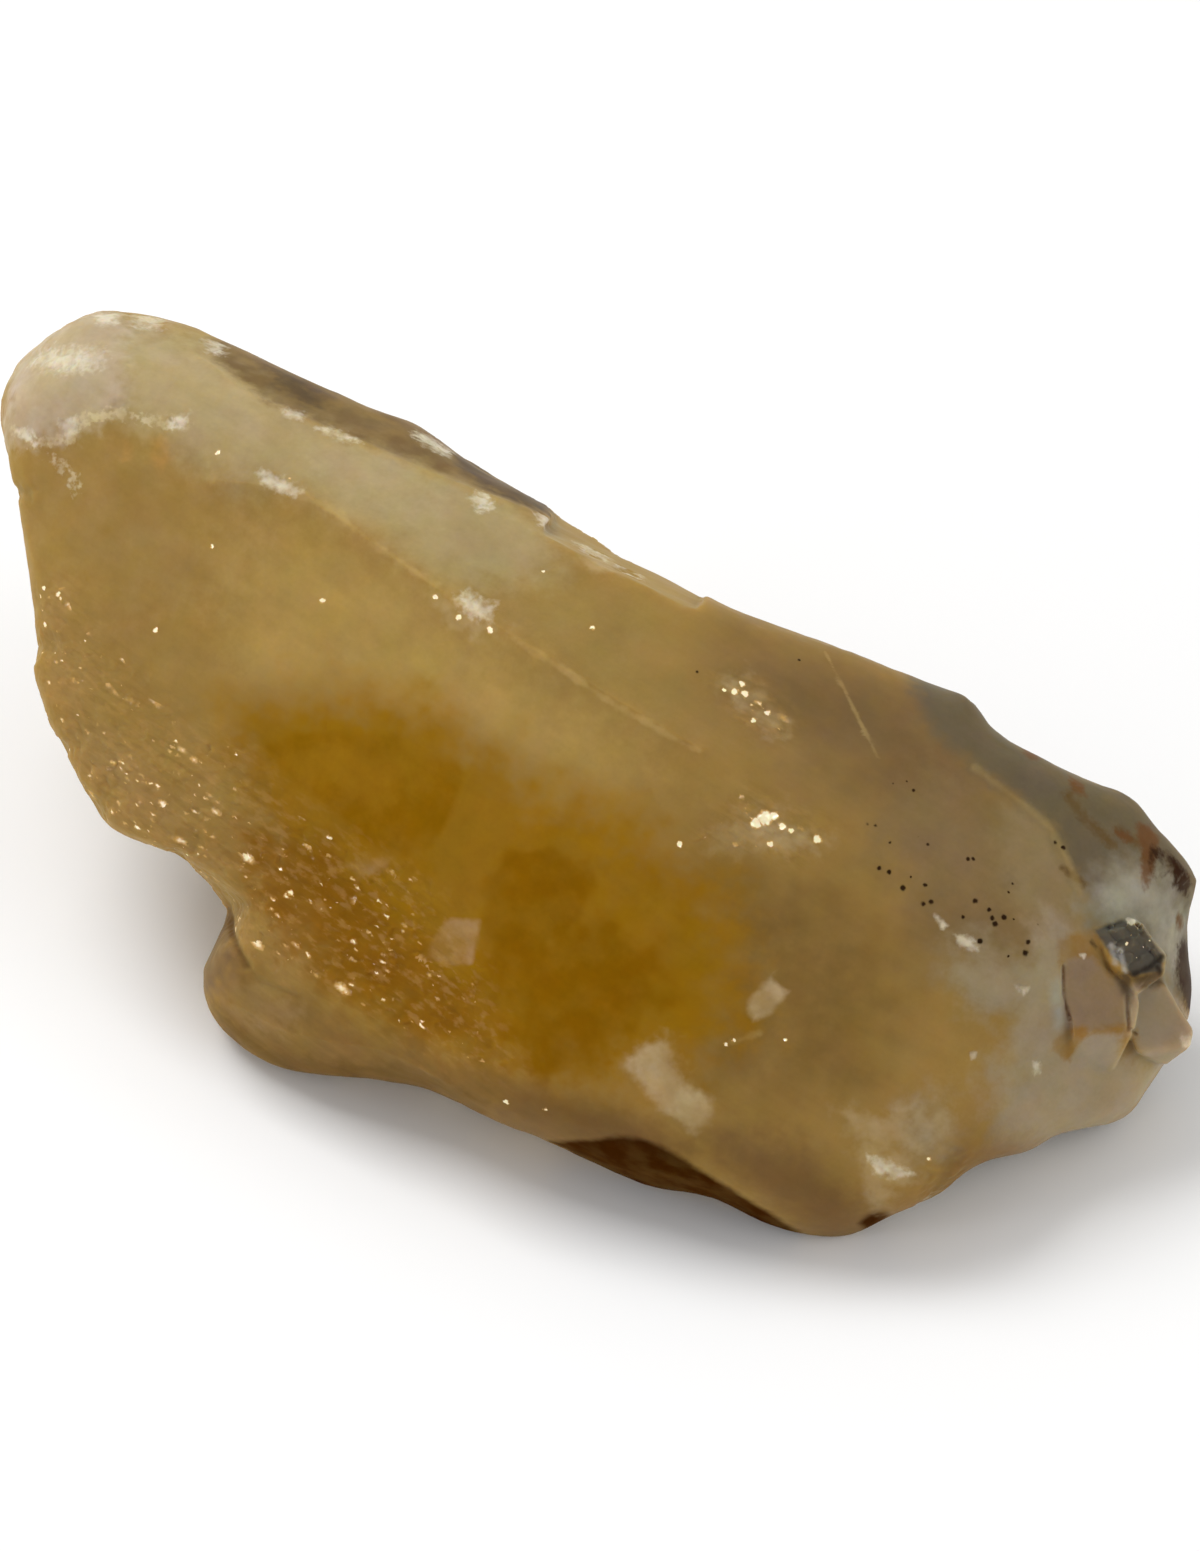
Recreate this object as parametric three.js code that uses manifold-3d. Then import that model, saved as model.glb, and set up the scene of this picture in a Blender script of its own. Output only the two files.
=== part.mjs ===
// A rough honey calcite point: one solid lump of crystal lying on a flat of its underside.
// Millimetres, +Z up. X runs along the stone, from the frosted tip (-X) to the broken base (+X).
// The origin is on the resting face, below the middle of the stone's bounding box.
import * as THREE from "three";
import { ConvexGeometry } from "three/addons/geometries/ConvexGeometry.js";
import { ImprovedNoise } from "three/addons/math/ImprovedNoise.js";
import { mergeVertices } from "three/addons/utils/BufferGeometryUtils.js";
import Module from "manifold-3d";

const { degToRad, euclideanModulo, lerp, smoothstep } = THREE.MathUtils;

// Driving dimensions
const HEART_HEIGHT = 23; // the heart: an inner point, this far above the floor, that all is measured from
const SKIN_DETAIL = 22; // each edge of the starting icosahedron is split this often, plus one
const SKIN_STRETCH = new THREE.Vector3(1.8, 1, 1); // spreads the skin's triangles along the stone
const RIDGE_SHARPNESS = 36; // higher makes the ridges between faces tighter
const RIM_SHARPNESS = 17; // higher makes the stone turn under more abruptly at its outline
const RIM_CALM = 0.35; // radians over which the outline's small steps die out around the back
const CALM_FROM = 0.2; // how far behind the rim the steps begin to die out, as a sine
const CALM_WHOLE = 0.7; // and where they are gone
const RIM_POINTS = 6; // points on the outline's curve for each of its corners
const LUMP_SIZE = 15; // length of the surface's shallow lumps
const LUMP_HEIGHT = 0.6;
const FLOOR_CUT = 400; // side of the block that levels the resting face

// The outline is drawn in a tilted plane: as seen from the front right, looking down on the stone.
const OUTLINE_AZIMUTH = degToRad(33);
const OUTLINE_ELEVATION = degToRad(45);
const TOWARD = new THREE.Vector3(
  Math.sin(OUTLINE_AZIMUTH) * Math.cos(OUTLINE_ELEVATION),
  -Math.cos(OUTLINE_AZIMUTH) * Math.cos(OUTLINE_ELEVATION),
  Math.sin(OUTLINE_ELEVATION),
);
const RIGHT = new THREE.Vector3(Math.cos(OUTLINE_AZIMUTH), Math.sin(OUTLINE_AZIMUTH), 0);
const UP = new THREE.Vector3().crossVectors(TOWARD, RIGHT);
const HEART = new THREE.Vector3(0, 0, HEART_HEIGHT);
const VIEW_TO_STONE = new THREE.Matrix4().makeBasis(RIGHT, UP, TOWARD).setPosition(HEART);

// Outline in that plane: right and up of the heart, clockwise from the tip.
const OUTLINE = [
  [-57, 60.5], [-51, 60], [-42, 55.5], [-32.5, 50.5], [-19, 44], [-14, 40.5], [-4.5, 34.5],
  [3.5, 29], [8.5, 26.5], [19, 21.5], [31, 17.5], [41.5, 13], [45, 11.5], [46.5, 8.5],
  [57.5, 3], [65.5, 0.5], [68.5, -3.5], [74, -9], [71.5, -14.5], [71.5, -23.5], [71, -27],
  [68.5, -31.5], [66.5, -34.5], [63.5, -37.5], [55.5, -39], [52.5, -41], [47, -41.5], [44, -42.5],
  [41, -45], [35.5, -47.5], [30, -51], [22, -49.5], [16, -46], [7.5, -45], [-3.5, -40],
  [-14.5, -35.5], [-19, -34], [-25, -33], [-36.5, -31.5], [-44, -25.5], [-45, -21],
  [-42, -13.5], [-46.5, -7], [-55, -3.5], [-57, -1], [-61, 6], [-64.5, 15.5], [-64, 18.5],
  [-66, 31.5], [-66.5, 35], [-69, 43], [-70.5, 49.5], [-69, 54], [-61, 59.5],
];

// The stone's faces: the way each looks (right, up, toward the outline's view) and its distance from the heart.
const FACES = [
  { name: "front face", looks: [-0.32, 0.05, 0.946], distance: 26.5 },
  { name: "front face, base half", looks: [-0.05, -0.03, 1], distance: 30.7 },
  { name: "upper face", looks: [0, 0.5, 0.866], distance: 30.6 },
  { name: "upper face, base half", looks: [0.22, 0.47, 0.855], distance: 32 },
  { name: "back strip", looks: [0.22, 0.8, 0.56], distance: 33 },
  { name: "sparkling bevel", looks: [-0.55, -0.5, 0.67], distance: 40 },
  { name: "lower front", looks: [0, -0.55, 0.84], distance: 50 },
  { name: "lower bevel", looks: [-0.33, -0.8, 0.5], distance: 43.5 },
  { name: "base shoulder", looks: [0.6, -0.2, 0.77], distance: 59 },
  { name: "base end", looks: [0.5, 0.35, 0.79], distance: 46.5 },
  { name: "tip cap", looks: [-0.6, 0.5, 0.62], distance: 65 },
  { name: "back", looks: [0.62, 0.59, -0.52], distance: 34.5 },
  { name: "back top", looks: [0.34, 0.92, -0.21], distance: 39.5 },
  { name: "lower back", looks: [0.44, 0.05, -0.9], distance: 29 },
  { name: "tip underside", looks: [-0.49, -0.22, -0.84], distance: 40 },
  { name: "tip back", looks: [-0.21, 0.76, -0.62], distance: 65 },
  { name: "base underside", looks: [0.85, -0.35, -0.39], distance: 77 },
  { name: "base back", looks: [0.8, 0.35, -0.49], distance: 63 },
  { name: "underside", looks: [0, -0.71, -0.71], distance: 25 },
].map(({ looks, distance }) => ({
  normal: new THREE.Vector3(...looks).transformDirection(VIEW_TO_STONE),
  distance,
}));

// Swells and hollows of the seen side, along lines in the outline's plane.
const SWELLS = [
  { name: "upper ridge", from: [-32, 35.5], to: [-2.5, 15.5], width: 4, height: 1 },
  { name: "upper ridge's fading end", from: [-2.5, 15.5], to: [20.5, 1], width: 5, height: 0.5 },
  { name: "hollow of the upper face", from: [-28.5, 38], to: [-2.5, 24], width: 6, height: -0.8 },
  { name: "fold over the foot", from: [-41.5, -13.5], to: [-37, -19], width: 3, height: -2 },
  { name: "hollow above the foot", from: [-37, -6], to: [-18, -22], width: 8, height: -3 },
  { name: "saddle by the base", from: [48.5, -3.5], to: [48.5, -30], width: 8, height: -1.2 },
].map(({ from, to, width, height }) => ({
  line: new THREE.Line3(new THREE.Vector3(...from, 0), new THREE.Vector3(...to, 0)),
  width,
  height,
}));
const SWELLS_BEGIN = -0.05; // the swells fade in over the rim between these sines
const SWELLS_WHOLE = 0.2;

// The thin layer along the back edge stops at this corner; what would be its other end is cut away.
const LEDGE_CUT = { corner: [-4, 31.5, 8], slope: -25, tilt: 8, length: 20, height: 14, depth: 60 };

// Small crystals on the base end: outer corners in the outline's axes. Each corner has a root inside the stone.
const CRYSTAL_ROOT = 12; // how far toward the viewer from the heart the roots lie
const CRYSTALS = [
  {
    name: "left rhomb",
    corners: [
      [54.8, -18.4, 27.3], [57.4, -17.6, 26.2], [63.3, -22.7, 23.7], [62.8, -25.8, 23.9],
      [55.4, -26.6, 27], [60.8, -30.6, 20.5], [55.5, -30, 22.5],
    ],
  },
  {
    name: "right rhomb",
    corners: [
      [61.6, -24, 21.5], [66.6, -20.6, 18.9], [70, -26.3, 17.9], [69.7, -28.2, 18.2],
      [67.2, -30.4, 15], [63.4, -28.6, 21.1],
    ],
  },
  {
    name: "grey crystal",
    corners: [
      [58.2, -14.9, 26.4], [62.8, -13.6, 23.9], [66.6, -17.6, 22.6], [66.2, -19.8, 23.2],
      [62.8, -22, 25.2], [60.2, -19.3, 26.1],
    ],
  },
];

// The outline's curve as angles and distances from the heart, in order of angle.
const RIM = new THREE.CatmullRomCurve3(
  OUTLINE.map(([right, up]) => new THREE.Vector3(right, up, 0)),
  true,
)
  .getPoints(OUTLINE.length * RIM_POINTS)
  .map(({ x, y }) => ({ angle: Math.atan2(y, x), distance: Math.hypot(x, y) }))
  .sort((a, b) => a.angle - b.angle);

function sharpRim(angle) {
  const turned = Math.atan2(Math.sin(angle), Math.cos(angle));
  const after = RIM.findIndex((point) => point.angle >= turned);
  const next = RIM[after < 0 ? 0 : after];
  const last = RIM[(after <= 0 ? RIM.length : after) - 1];
  const gap = euclideanModulo(next.angle - last.angle, 2 * Math.PI);
  const share = euclideanModulo(turned - last.angle, 2 * Math.PI) / (gap || 1);
  return lerp(last.distance, next.distance, share);
}

function rimDistance(angle, calm) {
  const offsets = [-1, -0.5, 0, 0.5, 1];
  return offsets.reduce((sum, offset) => sum + sharpRim(angle + offset * calm), 0) / offsets.length;
}

// Distance from the heart to the skin: where the rounded meeting of the faces and the outline is reached.
function reach(direction) {
  let faces = 0;
  for (const { normal, distance } of FACES) {
    faces += Math.max(0, normal.dot(direction) / distance) ** RIDGE_SHARPNESS;
  }
  const right = direction.dot(RIGHT);
  const up = direction.dot(UP);
  const calm = RIM_CALM * smoothstep(-direction.dot(TOWARD), CALM_FROM, CALM_WHOLE);
  const outline = Math.hypot(right, up) / rimDistance(Math.atan2(up, right), calm);
  const sum = faces ** (RIM_SHARPNESS / RIDGE_SHARPNESS) + outline ** RIM_SHARPNESS;
  return sum ** (-1 / RIM_SHARPNESS);
}

function swell(direction, distance) {
  const place = new THREE.Vector3(direction.dot(RIGHT) * distance, direction.dot(UP) * distance, 0);
  const nearest = new THREE.Vector3();
  let height = 0;
  for (const ridge of SWELLS) {
    ridge.line.closestPointToPoint(place, true, nearest);
    height += ridge.height * Math.exp(-((nearest.distanceTo(place) / ridge.width) ** 2));
  }
  return height * smoothstep(direction.dot(TOWARD), SWELLS_BEGIN, SWELLS_WHOLE);
}

const noise = new ImprovedNoise();

function lump(point) {
  return LUMP_HEIGHT * noise.noise(point.x / LUMP_SIZE, point.y / LUMP_SIZE, point.z / LUMP_SIZE);
}

function bare(geometry) {
  geometry.deleteAttribute("normal");
  geometry.deleteAttribute("uv");
  return mergeVertices(geometry);
}

function stoneSkin() {
  const skin = bare(new THREE.IcosahedronGeometry(1, SKIN_DETAIL));
  const places = skin.getAttribute("position");
  const direction = new THREE.Vector3();
  for (let i = 0; i < places.count; i++) {
    direction.fromBufferAttribute(places, i).multiply(SKIN_STRETCH).normalize();
    let distance = reach(direction);
    distance += swell(direction, distance);
    distance += lump(direction.clone().multiplyScalar(distance));
    const point = direction.clone().multiplyScalar(distance).add(HEART);
    places.setXYZ(i, point.x, point.y, point.z);
  }
  return skin;
}

function ledgeCut() {
  const { corner, slope, tilt, length, height, depth } = LEDGE_CUT;
  return new THREE.BoxGeometry(length, height, depth)
    .translate(length / 2, height / 2, 0)
    .rotateX(degToRad(tilt))
    .rotateZ(degToRad(slope))
    .translate(...corner)
    .applyMatrix4(VIEW_TO_STONE);
}

function crystal({ corners }) {
  const points = corners.flatMap(([right, up, toward]) => [
    new THREE.Vector3(right, up, toward),
    new THREE.Vector3(right, up, CRYSTAL_ROOT),
  ]);
  return new ConvexGeometry(points).applyMatrix4(VIEW_TO_STONE);
}

function floorBlock() {
  return new THREE.BoxGeometry(FLOOR_CUT, FLOOR_CUT, FLOOR_CUT).translate(0, 0, -FLOOR_CUT / 2);
}

const manifold = await Module();
manifold.setup();

function toSolid(geometry) {
  const plain = bare(geometry);
  const mesh = new manifold.Mesh({
    numProp: 3,
    vertProperties: Float32Array.from(plain.getAttribute("position").array),
    triVerts: Uint32Array.from(plain.getIndex().array),
  });
  return new manifold.Manifold(mesh);
}

function toGeometry(solid) {
  const mesh = solid.getMesh();
  const geometry = new THREE.BufferGeometry();
  geometry.setAttribute("position", new THREE.BufferAttribute(mesh.vertProperties, 3));
  geometry.setIndex(new THREE.BufferAttribute(mesh.triVerts, 1));
  geometry.computeVertexNormals();
  return geometry;
}

let solid = toSolid(stoneSkin());
for (const shape of CRYSTALS) {
  solid = solid.add(toSolid(crystal(shape)));
}
for (const cut of [ledgeCut(), floorBlock()]) {
  solid = solid.subtract(toSolid(cut));
}

const stoneGeometry = toGeometry(solid);
stoneGeometry.computeBoundingBox();
const middle = stoneGeometry.boundingBox.getCenter(new THREE.Vector3());
stoneGeometry.translate(-middle.x, -middle.y, 0);

const stone = new THREE.Mesh(
  stoneGeometry,
  new THREE.MeshStandardMaterial({ color: 0x9c7a34, roughness: 0.4, metalness: 0 }),
);
stone.name = "calcite_point";

const part = new THREE.Group();
part.add(stone);
export default part;
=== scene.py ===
"""A rough honey calcite point on a pale floor: a fine mesh of the stone, its colours and its light."""

import itertools
import math

import bmesh
import bpy
import numpy as np
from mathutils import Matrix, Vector
from mathutils.bvhtree import BVHTree


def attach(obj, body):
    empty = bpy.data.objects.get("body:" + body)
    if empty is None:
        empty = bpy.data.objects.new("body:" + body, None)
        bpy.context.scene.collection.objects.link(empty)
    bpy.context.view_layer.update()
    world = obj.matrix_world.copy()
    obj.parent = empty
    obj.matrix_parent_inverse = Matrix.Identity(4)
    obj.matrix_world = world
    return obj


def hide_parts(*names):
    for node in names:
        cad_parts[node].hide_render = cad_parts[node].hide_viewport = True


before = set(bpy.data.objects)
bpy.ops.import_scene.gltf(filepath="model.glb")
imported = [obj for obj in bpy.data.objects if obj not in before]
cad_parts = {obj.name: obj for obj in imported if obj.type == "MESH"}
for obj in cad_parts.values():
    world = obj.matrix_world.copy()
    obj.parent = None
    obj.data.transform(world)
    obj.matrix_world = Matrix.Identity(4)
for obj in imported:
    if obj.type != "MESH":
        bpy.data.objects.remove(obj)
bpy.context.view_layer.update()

MM = 0.001
NODE = "calcite_point"

# The photograph's frame, and the camera that sees the stone as it does. Places are in pixels of that frame.
PHOTO_WIDTH, PHOTO_HEIGHT = 1200, 1551
VIEW_AZIMUTH, VIEW_ELEVATION = math.radians(33), math.radians(45)
LENS, SENSOR = 120.0, 36.0
CAMERA_DISTANCE = 600 * MM
CAMERA_TARGET = Vector((6.94, 0.26, 30.8)) * MM
BACK = Vector((
    math.sin(VIEW_AZIMUTH) * math.cos(VIEW_ELEVATION),
    -math.cos(VIEW_AZIMUTH) * math.cos(VIEW_ELEVATION),
    math.sin(VIEW_ELEVATION),
))
RIGHT = Vector((math.cos(VIEW_AZIMUTH), math.sin(VIEW_AZIMUTH), 0))
UP = BACK.cross(RIGHT)
EYE = CAMERA_TARGET + BACK * CAMERA_DISTANCE
AXES = np.array([RIGHT, UP, BACK])

# The fine mesh
WELD = 1e-6
CREASE_ANGLE = math.radians(28)
ROUNDING_LEVELS = 2
VOXEL = 0.3 * MM
SMOOTH_ROUNDS = 6
MOST_TRIANGLES = 190_000
SHARP_ANGLE = math.radians(40)
DETAIL_HOLD = 10.0
PLAIN_FROM = -1.0  # the field of the detailed zones below which the mesh may be thinned
FULL_DETAIL = ("sparkle", "chip", "rhomb", "inclusion", "edge", "crack", "stain", "dent")

# Its relief, in mm. Lumps are rows of a height, a size and a seed.
LUMPS = [(0.3, 7, 101), (0.09, 3, 102), (0.03, 1.2, 103)]
EDGE_SHAKE = [(0.6, 1.6, 12), (0.4, 0.7, 13)]
STEP_SIZE = np.array([1.6, 1.1, 1.3])
STEP_SHARE = 0.18
STEP_DROP = 0.3
BLOCK_SHARE = 0.6
FROST_RISE = 0.25
CRACK_DEPTH = 0.25
DENT_DEPTH = 0.5
CHIP_DEPTH = 0.15
CHIP_LUMPS = [(0.2, 0.7, 104)]
BACK_LUMPS = [(0.5, 13, 105)]
SCOOP_SIZE = np.array([15.0, 11.0, 13.0])
SCOOP_DEPTH = 1.0
SCOOP_RIM = 1.2
SMALL_SCOOP_SIZE = SCOOP_SIZE / 3
SMALL_SCOOP_DEPTH = 0.5
STEP_SEED, BLOCK_SEED, SCOOP_SEED, SMALL_SCOOP_SEED = 201, 301, 501, 511
TRACE = 0.01  # the least share of a mask that counts
EDGE_ON_RELIEF = 0.1
TURNED_BACK = (0.1, 0.35)  # how far a face looks away from the viewer where the back's relief sets in
UNSEEN_FROM = (3, 12)  # how far behind what is seen the back's relief sets in
RESTING_FACE = (0.2, 2.0)  # the height over which the relief fades to the flat underside

# Narrow ridges: a line through photo pixels, its rise and half its width in mm
RIDGES = [
    ([(215, 480), (300, 490), (440, 590), (560, 665), (700, 750)], 0.5, 1.4),
    ([(190, 352), (250, 398), (440, 478), (548, 520)], 0.4, 1.0),
    ([(222, 912), (236, 950), (258, 982), (300, 998)], -0.5, 1.2),
    ([(232, 1000), (290, 1030), (380, 1046), (450, 1080)], 0.5, 1.6),
    ([(1178, 868), (1194, 881)], 0.45, 1.2),
]

# Small dark specks, at photo pixels, with their radius in mm
SPECKS = [
    (697, 672, 0.2), (799, 660, 0.18), (866, 800, 0.22), (868, 823, 0.26), (876, 825, 0.24),
    (893, 783, 0.2), (907, 781, 0.18), (914, 790, 0.24), (879, 868, 0.24), (889, 872, 0.26),
    (890, 842, 0.18), (903, 888, 0.3), (911, 877, 0.14), (919, 836, 0.16), (928, 844, 0.22),
    (925, 885, 0.24), (923, 904, 0.3), (931, 902, 0.3), (968, 859, 0.24), (973, 859, 0.24),
    (963, 917, 0.24), (975, 901, 0.3), (980, 941, 0.3), (989, 910, 0.26), (992, 918, 0.28),
    (995, 924, 0.32), (1004, 917, 0.32), (1014, 919, 0.14), (1009, 892, 0.18), (1013, 883, 0.18),
    (1026, 900, 0.12), (1028, 942, 0.28), (1025, 953, 0.34), (1008, 956, 0.14), (1055, 843, 0.26),
    (1063, 848, 0.28), (1038, 924, 0.14), (1047, 960, 0.14),
]

# Single glints, painted into the colour as bright flecks and given facets of the coat, in the same way
SPARKS = [
    (436, 597, 0.3), (458, 617, 0.35), (490, 630, 0.4), (515, 638, 0.3), (322, 600, 0.4),
    (212, 547, 0.25), (592, 628, 0.3), (543, 572, 0.2), (308, 499, 0.25), (218, 453, 0.3),
    (244, 475, 0.25), (290, 480, 0.3), (156, 630, 0.3), (59, 594, 0.4), (43, 588, 0.3), (45, 625, 0.35),
    (742, 684, 0.35), (734, 692, 0.4), (745, 694, 0.4), (724, 690, 0.25), (754, 720, 0.3),
    (768, 712, 0.35), (765, 818, 0.8), (756, 823, 0.6), (774, 816, 0.5), (782, 826, 0.35),
    (770, 844, 0.35), (818, 839, 0.5), (680, 844, 0.35), (791, 830, 0.3), (1131, 936, 0.14),
    (1126, 944, 0.18), (1143, 947, 0.1), (1149, 940, 0.12), (1137, 957, 0.1), (1120, 937, 0.12),
    (726, 1044, 0.2), (734, 1041, 0.2), (785, 1040, 0.25), (929, 1159, 0.25), (506, 1102, 0.3),
    (545, 1110, 0.25),
]

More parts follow.
